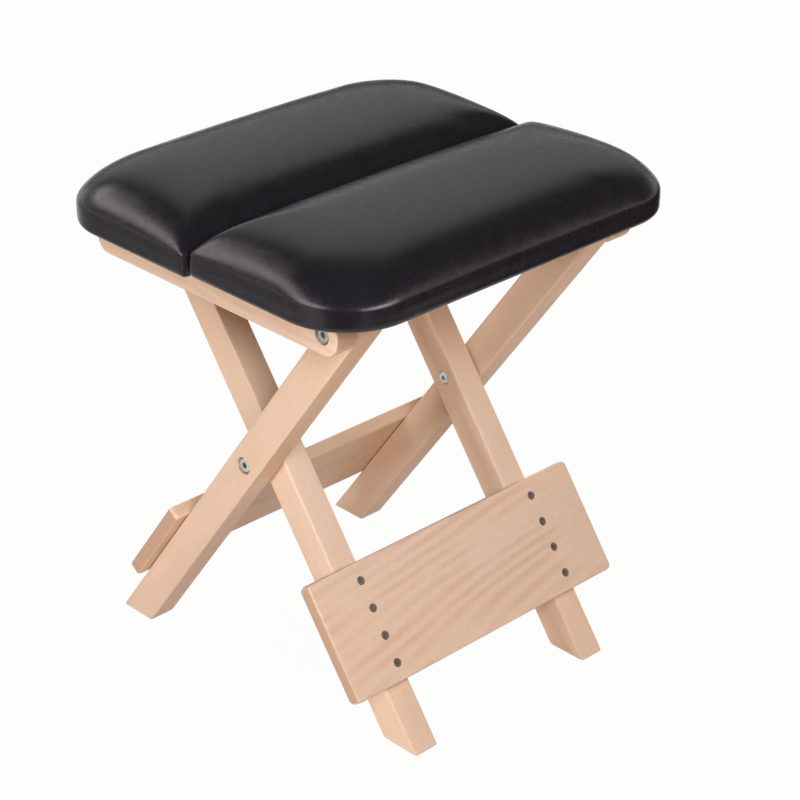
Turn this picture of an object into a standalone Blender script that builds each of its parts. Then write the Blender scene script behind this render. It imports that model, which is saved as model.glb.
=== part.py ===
"""Folding stool: two crossed pairs of beech legs, each pair hinged to one half of a padded seat.

Metres, +Z up. The floor is z = 0, +X points to the front, and the seat's split lies over the pivot at x = 0.
"""

import math

import bmesh
import bpy
from mathutils import Vector

MM = 0.001

# Legs
PIVOT_HEIGHT = 205.0 * MM
LEG_LEAN = math.radians(36.2)
LEG_WIDTH = 30.0 * MM
LEG_THICKNESS = 25.0 * MM
HINGE_REACH = 201.7 * MM
EASED_EDGE = 2.0 * MM

# Stretchers
STRETCHER_FOOT_GAP = 49.0 * MM
STRETCHER_WIDTH = 100.0 * MM
STRETCHER_THICKNESS = 12.0 * MM
STRETCHER_OVERHANG = 10.5 * MM
STRETCHER_CORNER_RADIUS = 4.5 * MM
STRETCHER_SCREWS_PER_LEG = 4
STRETCHER_SCREW_PITCH = 23.5 * MM
STRETCHER_SCREW_LENGTH = 32.0 * MM

# Seat rails
RAIL_RISE = 12.0 * MM
RAIL_DROP = 16.5 * MM
RAIL_THICKNESS = 21.0 * MM
RAIL_CORNER_RADIUS = 12.0 * MM
RAIL_SIDE_SETBACK = 27.0 * MM
OUTER_RAIL_SETBACK = 27.5 * MM
INNER_RAIL_SETBACK = 62.5 * MM
FRONT_SEAT_LIFT = 4.0 * MM
LAND_SETBACK = 4.0 * MM

# Padded seat halves
SEAT_LENGTH = 341.0 * MM
SEAT_WIDTH = 372.0 * MM
SPLIT_GAP = 3.0 * MM
OUTER_CORNER_RADIUS = 58.0 * MM
SPLIT_CORNER_RADIUS = 5.0 * MM
FOAM_WALL = 1.5 * MM
EDGE_TUCK = 3.0 * MM
TUCK_HEIGHT = 5.0 * MM
CROWN_HEIGHT = 35.5 * MM
CROWN_POWER = 2.4
CROWN_ROOT = 0.6
CROWN_ROUNDING = 0.7
CROWN_RUN = 92.0 * MM
RIDGE_WIDTH = 6.0 * MM
COVER_THICKNESS = 1.2 * MM
HEM_WIDTH = 19.0 * MM
BOARD_THICKNESS = 12.0 * MM
BOARD_SETBACK = 5.0 * MM
SEAT_SCREW_INSET = 28.0 * MM
SEAT_SCREW_SPACING = 62.0 * MM
SEAT_SCREW_BITE = 9.0 * MM
SEAT_SCREW_LENGTH = 35.0 * MM

# Bolts with barrel nuts
BOLT_RADIUS = 3.0 * MM
BOLT_HEAD_RADIUS = 6.0 * MM
BOLT_HEAD_HEIGHT = 4.5 * MM
BOLT_SOCKET_WIDTH = 5.0 * MM
BOLT_SOCKET_DEPTH = 2.6 * MM
COUNTERBORE_RADIUS = 7.4 * MM
COUNTERBORE_DEPTH = 6.0 * MM
NUT_FLANGE_RADIUS = 5.6 * MM
NUT_FLANGE_THICKNESS = 2.2 * MM
NUT_BARREL_RADIUS = 4.3 * MM
NUT_BARREL_LENGTH = 12.0 * MM
NUT_SOCKET_WIDTH = 4.0 * MM
NUT_SOCKET_DEPTH = 1.2 * MM
WASHER_RADIUS = 8.0 * MM
HARDWARE_CHAMFER = 0.5 * MM

# Wood screws
SCREW_HEAD_RADIUS = 3.5 * MM
SCREW_HEAD_HEIGHT = 2.4 * MM
SCREW_RADIUS = 1.9 * MM
SCREW_POINT = 4.0 * MM
SCREW_RECESS = 0.6 * MM

# Clearances
CONTACT_GAP = 0.3 * MM
TURNING_GAP = 1.5 * MM
TIP_CLEARANCE = 0.4 * MM
FOAM_CLEARANCE = 1.6 * MM
CUT_OVERSHOOT = 1.0 * MM

# Facet counts
ROUND_SIDES = 18
SMALL_SIDES = 12
SCREW_SIDES = 6
HEX_FLATS = 6
HALF_TURN_STEPS = 10
PLANK_CORNER_STEPS = 4
OUTER_CORNER_STEPS = 7
SPLIT_CORNER_STEPS = 3
EDGE_STEPS = 3
DOME_STEPS = 7
SMOOTH_ANGLE = math.radians(35)

# Places that follow from the sizes above
OUTER_RAIL_FACE = SEAT_WIDTH / 2 - RAIL_SIDE_SETBACK
OUTER_LEG_FACE = OUTER_RAIL_FACE - RAIL_THICKNESS - TURNING_GAP
INNER_LEG_FACE = OUTER_LEG_FACE - LEG_THICKNESS - TURNING_GAP
INNER_RAIL_FACE = INNER_LEG_FACE - LEG_THICKNESS - TURNING_GAP
STRETCHER_DROP = PIVOT_HEIGHT / math.cos(LEG_LEAN) - STRETCHER_FOOT_GAP - STRETCHER_WIDTH
HINGE_X = HINGE_REACH * math.sin(LEG_LEAN)
HINGE_Z = PIVOT_HEIGHT + HINGE_REACH * math.cos(LEG_LEAN)
RAIL_HEIGHT = RAIL_RISE + RAIL_DROP
REAR_UNDERSIDE = RAIL_RISE + CONTACT_GAP
FRONT_UNDERSIDE = REAR_UNDERSIDE + FRONT_SEAT_LIFT
SPLIT_EDGE = SPLIT_GAP / 2
SEAT_EDGE = SEAT_LENGTH / 2
BOARD_BOTTOM = COVER_THICKNESS + CONTACT_GAP
BOARD_TOP = BOARD_BOTTOM + BOARD_THICKNESS
EDGE_HEIGHT = BOARD_TOP + FOAM_WALL
BOLT_HOLE_RADIUS = BOLT_RADIUS + CONTACT_GAP
SCREW_HOLE_RADIUS = SCREW_RADIUS + CONTACT_GAP
SCREW_POCKET_RADIUS = SCREW_HEAD_RADIUS + CONTACT_GAP
SCREW_POCKET_DEPTH = SCREW_RECESS + SCREW_HEAD_HEIGHT + CONTACT_GAP
SIDES = {"left": -1, "right": 1}
ALONG_X = Vector((1, 0, 0))
ALONG_Y = Vector((0, 1, 0))
ALONG_Z = Vector((0, 0, 1))


def clear_scene():
    for item in list(bpy.data.objects):
        bpy.data.objects.remove(item, do_unlink=True)


def make_material(name, colour, roughness, metallic=0.0):
    material = bpy.data.materials.new(name)
    material.use_nodes = True
    shader = material.node_tree.nodes["Principled BSDF"]
    shader.inputs["Base Color"].default_value = (*colour, 1.0)
    shader.inputs["Roughness"].default_value = roughness
    shader.inputs["Metallic"].default_value = metallic
    return material


def make_empty(name, location, lean=0.0):
    empty = bpy.data.objects.new(name, None)
    empty.location = location
    empty.rotation_euler = (0, lean, 0)
    bpy.context.collection.objects.link(empty)
    return empty


def make_mesh(name, shape, material):
    mesh = bpy.data.meshes.new(name)
    bmesh.ops.recalc_face_normals(shape, faces=shape.faces)
    shape.to_mesh(mesh)
    shape.free()
    mesh.shade_smooth()
    mesh.set_sharp_from_angle(angle=SMOOTH_ANGLE)
    if material:
        mesh.materials.append(material)
    return mesh


def place_mesh(name, mesh, parent, location):
    item = bpy.data.objects.new(name, mesh)
    item.parent = parent
    item.location = location
    bpy.context.collection.objects.link(item)
    return item


def make_object(name, shape, parent, material=None, location=(0, 0, 0)):
    return place_mesh(name, make_mesh(name, shape, material), parent, location)


def ease_edges(item):
    bevel = item.modifiers.new("eased edges", "BEVEL")
    bevel.width = EASED_EDGE
    bevel.segments = 2
    bevel.limit_method = "ANGLE"
    bevel.angle_limit = SMOOTH_ANGLE


def cut(item, bores):
    """Take stepped round bores, each a profile with its start, direction and sides, out of a piece."""
    shape = bmesh.new()
    for profile, start, direction, sides in bores:
        add_turned(shape, profile, start, direction, sides)
    cutter = make_object(item.name + ".bores", shape, item.parent, location=item.location)
    cutter.hide_render = True
    cutter.display_type = "WIRE"
    boolean = item.modifiers.new("bores", "BOOLEAN")
    boolean.operation = "DIFFERENCE"
    boolean.solver = "EXACT"
    boolean.object = cutter


def add_loft(shape, rings):
    """Join rings of equally many points with faces, and give the rings back as mesh points."""
    loops = [[shape.verts.new(point) for point in ring] for ring in rings]
    for low, high in zip(loops, loops[1:]):
        for index in range(len(low)):
            after = (index + 1) % len(low)
            shape.faces.new((low[index], low[after], high[after], high[index]))
    return loops


def turned_rings(profile, start, direction, sides):
    """Rings of (radius, distance) points about a line. A third value gives a ring that many flats."""
    first_axis = direction.orthogonal().normalized()
    second_axis = direction.cross(first_axis)
    rings = []
    for radius, distance, *flats in profile:
        ring = []
        for index in range(sides):
            angle = 2 * math.pi * index / sides
            reach = radius
            if flats:
                flat_angle = 2 * math.pi / flats[0]
                reach = radius / math.cos(angle % flat_angle - flat_angle / 2)
            across = first_axis * math.cos(angle) + second_axis * math.sin(angle)
            ring.append(start + direction * distance + across * reach)
        rings.append(ring)
    return rings


def add_turned(shape, profile, start, direction, sides):
    """Turn a profile about a line and close both of its ends."""
    loops = add_loft(shape, turned_rings(profile, start, direction, sides))
    shape.faces.new(loops[0])
    shape.faces.new(loops[-1])


def add_tube(shape, outer_radius, inner_radius, length, start, direction, sides):
    profile = [(inner_radius, 0), (outer_radius, 0), (outer_radius, length), (inner_radius, length)]
    loops = add_loft(shape, turned_rings(profile, start, direction, sides))
    for index in range(sides):
        after = (index + 1) % sides
        shape.faces.new((loops[-1][index], loops[-1][after], loops[0][after], loops[0][index]))


def add_prism(shape, outline, lift):
    """Extrude a flat closed outline along a vector."""
    loops = add_loft(shape, [outline, [point + lift for point in outline]])
    shape.faces.new(loops[0])
    shape.faces.new(loops[1])


def arc(centre, radius, start, end, steps):
    points = []
    for index in range(steps + 1):
        angle = start + (end - start) * index / steps
        points.append((centre[0] + radius * math.cos(angle), centre[1] + radius * math.sin(angle)))
    return points


def side_prism(points, side, far_face, near_face):
    """Extrude an outline seen from the side between two distances from the stool's middle plane."""
    shape = bmesh.new()
    outline = [Vector((x, side * far_face, z)) for x, z in points]
    add_prism(shape, outline, Vector((0, side * (near_face - far_face), 0)))
    return shape


def head_bore(thickness):
    """Counterbore for a bolt head, then the bolt's hole through the piece."""
    return [
        (COUNTERBORE_RADIUS, -CUT_OVERSHOOT),
        (COUNTERBORE_RADIUS, COUNTERBORE_DEPTH),
        (BOLT_HOLE_RADIUS, COUNTERBORE_DEPTH),
        (BOLT_HOLE_RADIUS, thickness + CUT_OVERSHOOT),
    ]


def nut_bore(thickness):
    """Seat for a barrel nut's flange, then its barrel, then the bolt's hole through the piece."""
    flange_depth = NUT_FLANGE_THICKNESS + CONTACT_GAP
    barrel_depth = flange_depth + NUT_BARREL_LENGTH + CONTACT_GAP
    return [
        (NUT_FLANGE_RADIUS + CONTACT_GAP, -CUT_OVERSHOOT),
        (NUT_FLANGE_RADIUS + CONTACT_GAP, flange_depth),
        (NUT_BARREL_RADIUS + CONTACT_GAP, flange_depth),
        (NUT_BARREL_RADIUS + CONTACT_GAP, barrel_depth),
        (BOLT_HOLE_RADIUS, barrel_depth),
        (BOLT_HOLE_RADIUS, thickness + CUT_OVERSHOOT),
    ]


def make_bolt_set(prefix, side_name, parent, place, head_face, nut_face, head_thickness):
    """Bolt, washer and barrel nut that join two pieces from the head's face to the nut's face."""
    side = SIDES[side_name]
    inward = ALONG_Y * (side if nut_face > head_face else -side)
    start = Vector((place[0], side * head_face, place[1]))
    end = Vector((place[0], side * nut_face, place[1]))
    span = (end - start).length

    head_top = COUNTERBORE_DEPTH - CONTACT_GAP - BOLT_HEAD_HEIGHT
    head_base = COUNTERBORE_DEPTH - CONTACT_GAP
    socket = BOLT_SOCKET_WIDTH / 2
    nut_bore_end = NUT_FLANGE_THICKNESS + HARDWARE_CHAMFER
    bolt_end = span - nut_bore_end - 2 * CONTACT_GAP
    shape = bmesh.new()
    add_turned(shape, [
        (socket, head_top + BOLT_SOCKET_DEPTH, HEX_FLATS),
        (socket, head_top, HEX_FLATS),
        (BOLT_HEAD_RADIUS - HARDWARE_CHAMFER, head_top),
        (BOLT_HEAD_RADIUS, head_top + HARDWARE_CHAMFER),
        (BOLT_HEAD_RADIUS, head_base),
        (BOLT_RADIUS, head_base),
        (BOLT_RADIUS, bolt_end),
    ], start, inward, ROUND_SIDES)
    make_object(f"{prefix}_bolt_{side_name}", shape, parent, STEEL)

    shape = bmesh.new()
    washer_start = start + inward * (head_thickness + CONTACT_GAP)
    washer_length = TURNING_GAP - 2 * CONTACT_GAP
    add_tube(shape, WASHER_RADIUS, BOLT_HOLE_RADIUS, washer_length, washer_start, inward, SMALL_SIDES)
    make_object(f"{prefix}_washer_{side_name}", shape, parent, STEEL)

    nut_length = NUT_FLANGE_THICKNESS + NUT_BARREL_LENGTH
    nut_socket = NUT_SOCKET_WIDTH / 2
    shape = bmesh.new()
    add_turned(shape, [
        (nut_socket, NUT_SOCKET_DEPTH, HEX_FLATS),
        (nut_socket, 0, HEX_FLATS),
        (NUT_FLANGE_RADIUS - HARDWARE_CHAMFER, 0),
        (NUT_FLANGE_RADIUS, HARDWARE_CHAMFER),
        (NUT_FLANGE_RADIUS, NUT_FLANGE_THICKNESS),
        (NUT_BARREL_RADIUS, NUT_FLANGE_THICKNESS),
        (NUT_BARREL_RADIUS, nut_length),
        (BOLT_HOLE_RADIUS, nut_length),
        (BOLT_HOLE_RADIUS, nut_bore_end),
    ], end, -inward, SMALL_SIDES)
    make_object(f"{prefix}_nut_{side_name}", shape, parent, STEEL)


def make_screw_mesh(name, length):
    """Wood screw along +Z whose head top lies at its origin."""
    shape = bmesh.new()
    add_turned(shape, [
        (SCREW_HEAD_RADIUS, 0),
        (SCREW_HEAD_RADIUS, HARDWARE_CHAMFER),
        (SCREW_RADIUS, SCREW_HEAD_HEIGHT),
        (SCREW_RADIUS, length - SCREW_POINT),
        (HARDWARE_CHAMFER, length),
    ], Vector(), ALONG_Z, SCREW_SIDES)
    return make_mesh(name, shape, BLACK_STEEL)


def place_screw(name, mesh, parent, head, direction):
    screw = place_mesh(name, mesh, parent, head)
    screw.rotation_euler = direction.to_track_quat("Z", "Y").to_euler()


def screw_pocket(pocket_depth, depth):
    """Recess for a screw's head, then a hole for its shank."""
    return [
        (SCREW_POCKET_RADIUS, -CUT_OVERSHOOT),
        (SCREW_POCKET_RADIUS, pocket_depth),
        (SCREW_HOLE_RADIUS, pocket_depth),
        (SCREW_HOLE_RADIUS, depth),
    ]


def plain_hole(start, end):
    return [(SCREW_HOLE_RADIUS, start), (SCREW_HOLE_RADIUS, end)]


def stretcher_screw_heights():
    middle = -STRETCHER_DROP - STRETCHER_WIDTH / 2
    first = middle - STRETCHER_SCREW_PITCH * (STRETCHER_SCREWS_PER_LEG - 1) / 2
    return [first + STRETCHER_SCREW_PITCH * index for index in range(STRETCHER_SCREWS_PER_LEG)]


def leg_outline(out, underside):
    """Outline of a leg that stands along its own Z with the pivot at 0. Its stretcher's side is out.

    The round tip stays just under the seat half that slides over it, whether the leg leans or is upright.
    """
    half = LEG_WIDTH / 2
    room = underside - TIP_CLEARANCE - half
    tip = HINGE_REACH + min(room, room / math.cos(LEG_LEAN))
    points = arc((0, tip), half, 0, math.pi, HALF_TURN_STEPS)
    for x in (-half, half):
        points.append((x, (-PIVOT_HEIGHT - out * x * math.sin(LEG_LEAN)) / math.cos(LEG_LEAN)))
    return points


def make_leg(name, side_name, parent, face, out, underside, bores):
    shape = side_prism(leg_outline(out, underside), SIDES[side_name], face, face - LEG_THICKNESS)
    leg = make_object(name, shape, parent, BEECH)
    ease_edges(leg)
    surface = out * (LEG_WIDTH / 2)
    depth = STRETCHER_SCREW_LENGTH + SCREW_RECESS - STRETCHER_THICKNESS
    for height in stretcher_screw_heights():
        start = Vector((surface, SIDES[side_name] * (face - LEG_THICKNESS / 2), height))
        bores.append((plain_hole(-CUT_OVERSHOOT, depth), start, ALONG_X * -out, SCREW_SIDES))
    cut(leg, bores)


def make_outer_legs(parent):
    """The pair that leans to the front at the top. The pivot's heads are outside, the hinge's nuts inside."""
    for side_name, side in SIDES.items():
        pivot = Vector((0, side * OUTER_LEG_FACE, 0))
        hinge = Vector((0, side * (OUTER_LEG_FACE - LEG_THICKNESS), HINGE_REACH))
        bores = [
            (head_bore(LEG_THICKNESS), pivot, ALONG_Y * -side, ROUND_SIDES),
            (nut_bore(LEG_THICKNESS), hinge, ALONG_Y * side, SMALL_SIDES),
        ]
        make_leg(f"outer_leg_{side_name}", side_name, parent, OUTER_LEG_FACE, -1, FRONT_UNDERSIDE, bores)


def make_inner_legs(parent):
    """The pair that leans to the rear at the top. The pivot's nuts are inside, the hinge's nuts outside."""
    for side_name, side in SIDES.items():
        pivot = Vector((0, side * (INNER_LEG_FACE - LEG_THICKNESS), 0))
        hinge = Vector((0, side * INNER_LEG_FACE, HINGE_REACH))
        bores = [
            (nut_bore(LEG_THICKNESS), pivot, ALONG_Y * side, SMALL_SIDES),
            (nut_bore(LEG_THICKNESS), hinge, ALONG_Y * -side, SMALL_SIDES),
        ]
        make_leg(f"inner_leg_{side_name}", side_name, parent, INNER_LEG_FACE, 1, REAR_UNDERSIDE, bores)


def stretcher_outline():
    """Outline of a stretcher's face with rounded corners, as distances across and along the legs."""
    radius = STRETCHER_CORNER_RADIUS
    right = OUTER_LEG_FACE + STRETCHER_OVERHANG - radius
    top = -STRETCHER_DROP - radius
    bottom = radius - STRETCHER_DROP - STRETCHER_WIDTH
    quarter = math.pi / 2
    points = []
    for turn, centre in enumerate([(right, top), (-right, top), (-right, bottom), (right, bottom)]):
        points += arc(centre, radius, turn * quarter, (turn + 1) * quarter, PLANK_CORNER_STEPS)
    return points


def make_stretcher(name, parent, out, leg_face):
    """Wide plank screwed across the outward faces of one pair of legs."""
    low_x = LEG_WIDTH / 2 + CONTACT_GAP
    high_x = low_x + STRETCHER_THICKNESS
    shape = bmesh.new()
    outline = [Vector((out * low_x, y, z)) for y, z in stretcher_outline()]
    add_prism(shape, outline, ALONG_X * (out * STRETCHER_THICKNESS))
    stretcher = make_object(name, shape, parent, BEECH)
    ease_edges(stretcher)
    inward = ALONG_X * -out
    screw_mesh = make_screw_mesh(f"{name}_screw", STRETCHER_SCREW_LENGTH)
    bores = []
    for side in SIDES.values():
        for height in stretcher_screw_heights():
            start = Vector((out * high_x, side * (leg_face - LEG_THICKNESS / 2), height))
            pocket = screw_pocket(SCREW_POCKET_DEPTH, STRETCHER_THICKNESS + CUT_OVERSHOOT)
            bores.append((pocket, start, inward, SMALL_SIDES))
            head = start + inward * SCREW_RECESS
            place_screw(f"{name}_screw_{len(bores)}", screw_mesh, parent, head, inward)
    cut(stretcher, bores)


def rail_outline(reach, length, land_start, lift):
    """Outline of a seat rail about its hinge: a round end, a flat top and a rounded lower far corner.

    A lifted rail has a raised land along the stretch that carries its seat half.
    """
    top_angle = math.pi - math.asin(min(RAIL_RISE / RAIL_DROP, 1))
    points = arc((0, 0), RAIL_DROP, top_angle, 1.5 * math.pi, HALF_TURN_STEPS)
    corner = (length - RAIL_CORNER_RADIUS, RAIL_CORNER_RADIUS - RAIL_DROP)
    points += arc(corner, RAIL_CORNER_RADIUS, -math.pi / 2, 0, HALF_TURN_STEPS // 2)
    points.append((length, RAIL_RISE + lift))
    if lift:
        points.append((land_start + lift, RAIL_RISE + lift))
        points.append((land_start, RAIL_RISE))
    return [(reach * x, z) for x, z in points]


def make_seat_rails(prefix, parent, reach, setback, faces, lift, screw_places):
    """Two rails that carry a seat half, and the height of their screws' heads about the hinge.

    faces gives the distances from the middle of the face with the bolt's head and of the face at the leg.
    """
    head_face, leg_face = faces
    length = HINGE_X + SEAT_EDGE - setback
    land_start = HINGE_X + SPLIT_EDGE + LAND_SETBACK
    outline = rail_outline(reach, length, land_start, lift)
    head_top = RAIL_RISE + lift + CONTACT_GAP + BOARD_BOTTOM + SEAT_SCREW_BITE - SEAT_SCREW_LENGTH
    pocket_depth = RAIL_DROP + head_top + SCREW_HEAD_HEIGHT + CONTACT_GAP
    for side_name, side in SIDES.items():
        shape = side_prism(outline, side, head_face, leg_face)
        rail = make_object(f"{prefix}_rail_{side_name}", shape, parent, BEECH)
        ease_edges(rail)
        inward = ALONG_Y * (side if leg_face > head_face else -side)
        bores = [(head_bore(RAIL_THICKNESS), Vector((0, side * head_face, 0)), inward, ROUND_SIDES)]
        for place in screw_places:
            start = Vector((place, side * (head_face + leg_face) / 2, -RAIL_DROP))
            through = RAIL_HEIGHT + lift + CUT_OVERSHOOT
            bores.append((screw_pocket(pocket_depth, through), start, ALONG_Z, SMALL_SIDES))
        cut(rail, bores)
    return head_top


def seat_outline(reach, inset):
    """Plan of one seat half, drawn in by an inset, as points in order round its edge."""
    low_x = SPLIT_EDGE + inset
    high_x = SEAT_EDGE - inset
    half_width = SEAT_WIDTH / 2 - inset
    outer = max(OUTER_CORNER_RADIUS - inset, EASED_EDGE)
    inner = max(SPLIT_CORNER_RADIUS - inset, EASED_EDGE)
    quarter = math.pi / 2
    points = arc((high_x - outer, outer - half_width), outer, -quarter, 0, OUTER_CORNER_STEPS)
    points.append((high_x, 0))
    points += arc((high_x - outer, half_width - outer), outer, 0, quarter, OUTER_CORNER_STEPS)
    points += arc((low_x + inner, half_width - inner), inner, quarter, 2 * quarter, SPLIT_CORNER_STEPS)
    points.append((low_x, 0))
    points += arc((low_x + inner, inner - half_width), inner, 2 * quarter, 3 * quarter, SPLIT_CORNER_STEPS)
    return [(reach * x, y) for x, y in points]


def level_ring(points, height):
    return [Vector((x, y, height)) for x, y in points]


def dome_rings(reach, inset):
    """Rings of the crown, from the top of the upright sides up to the ridge.

    The rings draw in and turn from the seat's outline towards an oval, so that the crown has soft corners.
    """
    edge = seat_outline(reach, inset)
    middle = reach * (SPLIT_EDGE + SEAT_EDGE) / 2
    half_length = (SEAT_EDGE - SPLIT_EDGE) / 2 - inset
    half_width = SEAT_WIDTH / 2 - inset
    draw_x = 1 - RIDGE_WIDTH / 2 / half_length
    draw_y = CROWN_RUN / half_width
    rings = []
    for index in range(DOME_STEPS + 1):
        share = (index / DOME_STEPS) ** 2
        rise = (1 - (1 - share) ** CROWN_POWER) ** CROWN_ROOT
        ring = []
        for x, y in edge:
            across = (x - middle) / half_length
            along = y / half_width
            round_x = 1 - share * CROWN_ROUNDING * (1 - math.sqrt(1 - along ** 2 / 2))
            round_y = 1 - share * CROWN_ROUNDING * (1 - math.sqrt(1 - across ** 2 / 2))
            ring_x = middle + (x - middle) * (1 - draw_x * share) * round_x
            ring.append((ring_x, y * (1 - draw_y * share) * round_y))
        rings.append(level_ring(ring, EDGE_HEIGHT + (CROWN_HEIGHT - inset) * rise))
    return rings


def make_cover(name, parent, reach, location):
    """Leatherette skin: crowned top, upright sides tucked in below and a hem turned under the board."""
    rings = [level_ring(seat_outline(reach, EDGE_TUCK + HEM_WIDTH), 0)]
    for index in range(EDGE_STEPS + 1):
        angle = math.pi / 2 * index / EDGE_STEPS
        inset = EDGE_TUCK * (1 - math.sin(angle))
        rings.append(level_ring(seat_outline(reach, inset), TUCK_HEIGHT * (1 - math.cos(angle))))
    rings += dome_rings(reach, 0)
    shape = bmesh.new()
    loops = add_loft(shape, rings)
    shape.faces.new(loops[-1])
    cover = make_object(name, shape, parent, LEATHERETTE, location)
    skin = cover.modifiers.new("skin", "SOLIDIFY")
    skin.thickness = COVER_THICKNESS
    skin.offset = -1
    skin.use_even_offset = True


def make_foam(name, parent, reach, location):
    """Foam pad between the board and the cover."""
    inset = COVER_THICKNESS + FOAM_CLEARANCE
    bottom = level_ring(seat_outline(reach, inset), BOARD_TOP + CONTACT_GAP)
    shape = bmesh.new()
    loops = add_loft(shape, [bottom] + dome_rings(reach, inset))
    shape.faces.new(loops[0])
    shape.faces.new(loops[-1])
    make_object(name, shape, parent, FOAM, location)


def make_sheet(name, parent, reach, location, inset, bottom, top, material, holes):
    """Flat piece in the plan of a seat half, with holes that start at its lower face."""
    shape = bmesh.new()
    outline = level_ring(seat_outline(reach, inset), bottom)
    add_prism(shape, outline, ALONG_Z * (top - bottom))
    sheet = make_object(name, shape, parent, material, location)
    bores = []
    for x, y, depth in holes:
        bores.append((plain_hole(-CUT_OVERSHOOT, depth), Vector((x, y, bottom)), ALONG_Z, SMALL_SIDES))
    cut(sheet, bores)


def make_seat_half(prefix, rail_prefix, parent, reach, setback, faces, lift):
    """Rails, board, foam, cover and lining of one half, placed about its hinge."""
    to_split = reach * HINGE_X
    first = SPLIT_EDGE + SEAT_SCREW_INSET
    split_places = [reach * first, reach * (first + SEAT_SCREW_SPACING)]
    rail_places = [to_split + place for place in split_places]
    head_top = make_seat_rails(rail_prefix, parent, reach, setback, faces, lift, rail_places)

    location = (to_split, 0, REAR_UNDERSIDE + lift)
    make_cover(f"{prefix}_cover", parent, reach, location)
    make_foam(f"{prefix}_foam", parent, reach, location)
    rail_middle = sum(faces) / 2
    screw_spots = [(x, side * rail_middle) for x in split_places for side in SIDES.values()]
    bite = SEAT_SCREW_BITE + CONTACT_GAP
    board_holes = [(x, y, bite) for x, y in screw_spots]
    make_sheet(f"{prefix}_board", parent, reach, location, BOARD_SETBACK, BOARD_BOTTOM, BOARD_TOP, PLYWOOD,
               board_holes)
    lining_holes = [(x, y, COVER_THICKNESS + CUT_OVERSHOOT) for x, y in screw_spots]
    lining_inset = EDGE_TUCK + HEM_WIDTH + CONTACT_GAP
    make_sheet(f"{prefix}_lining", parent, reach, location, lining_inset, 0, COVER_THICKNESS, LINING_CLOTH,
               lining_holes)

    screw_mesh = make_screw_mesh(f"{prefix}_screw", SEAT_SCREW_LENGTH)
    for number, (x, y) in enumerate(screw_spots, 1):
        head = Vector((to_split + x, y, head_top))
        place_screw(f"{prefix}_screw_{number}", screw_mesh, parent, head, ALONG_Z)


def build_stool():
    pivot = (0, 0, PIVOT_HEIGHT)
    outer_frame = make_empty("outer_frame", pivot, LEG_LEAN)
    inner_frame = make_empty("inner_frame", pivot, -LEG_LEAN)
    rear_seat = make_empty("rear_seat", (HINGE_X, 0, HINGE_Z))
    front_seat = make_empty("front_seat", (-HINGE_X, 0, HINGE_Z))

    make_outer_legs(outer_frame)
    make_inner_legs(inner_frame)
    make_stretcher("rear_stretcher", outer_frame, -1, OUTER_LEG_FACE)
    make_stretcher("front_stretcher", inner_frame, 1, INNER_LEG_FACE)

    outer_rail_faces = (OUTER_RAIL_FACE, OUTER_RAIL_FACE - RAIL_THICKNESS)
    inner_rail_faces = (INNER_RAIL_FACE - RAIL_THICKNESS, INNER_RAIL_FACE)
    make_seat_half("rear_seat", "outer", rear_seat, -1, OUTER_RAIL_SETBACK, outer_rail_faces, 0)
    make_seat_half("front_seat", "inner", front_seat, 1, INNER_RAIL_SETBACK, inner_rail_faces,
                   FRONT_SEAT_LIFT)

    hinge = (0, HINGE_REACH)
    inner_nut_face = INNER_LEG_FACE - LEG_THICKNESS
    outer_nut_face = OUTER_LEG_FACE - LEG_THICKNESS
    for side_name in SIDES:
        make_bolt_set("pivot", side_name, outer_frame, (0, 0), OUTER_LEG_FACE, inner_nut_face, LEG_THICKNESS)
        make_bolt_set("outer_hinge", side_name, outer_frame, hinge, OUTER_RAIL_FACE, outer_nut_face,
                      RAIL_THICKNESS)
        make_bolt_set("inner_hinge", side_name, inner_frame, hinge, inner_rail_faces[0], INNER_LEG_FACE,
                      RAIL_THICKNESS)


clear_scene()
BEECH = make_material("beech", (0.68, 0.45, 0.30), 0.45)
PLYWOOD = make_material("plywood", (0.60, 0.44, 0.28), 0.6)
LEATHERETTE = make_material("leatherette", (0.045, 0.042, 0.044), 0.42)
FOAM = make_material("foam", (0.80, 0.74, 0.55), 0.9)
LINING_CLOTH = make_material("lining_cloth", (0.03, 0.03, 0.03), 0.95)
STEEL = make_material("steel", (0.62, 0.62, 0.60), 0.3, 1.0)
BLACK_STEEL = make_material("black_steel", (0.05, 0.045, 0.04), 0.45, 1.0)
build_stool()
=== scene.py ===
"""Looks of the folding stool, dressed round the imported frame: beech, leatherette, cloth and steel."""

import math
import random

import bmesh
import bpy
import numpy as np
from mathutils import Matrix, Vector, noise


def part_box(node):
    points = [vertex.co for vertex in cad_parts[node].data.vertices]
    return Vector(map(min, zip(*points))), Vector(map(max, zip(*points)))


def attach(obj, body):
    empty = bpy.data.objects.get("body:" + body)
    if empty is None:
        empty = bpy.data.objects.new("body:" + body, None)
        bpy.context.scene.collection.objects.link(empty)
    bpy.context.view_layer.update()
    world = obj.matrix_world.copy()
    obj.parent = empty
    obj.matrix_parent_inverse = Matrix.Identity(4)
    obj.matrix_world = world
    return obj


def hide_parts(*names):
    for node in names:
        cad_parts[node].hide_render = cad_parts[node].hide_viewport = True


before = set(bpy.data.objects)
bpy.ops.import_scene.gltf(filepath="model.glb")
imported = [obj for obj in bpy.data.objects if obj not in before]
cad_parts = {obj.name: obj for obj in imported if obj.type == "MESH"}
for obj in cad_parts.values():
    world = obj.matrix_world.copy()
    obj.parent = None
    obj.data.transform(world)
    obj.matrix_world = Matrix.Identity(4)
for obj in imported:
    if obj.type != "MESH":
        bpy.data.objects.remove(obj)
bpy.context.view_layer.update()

MM = 0.001

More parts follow.
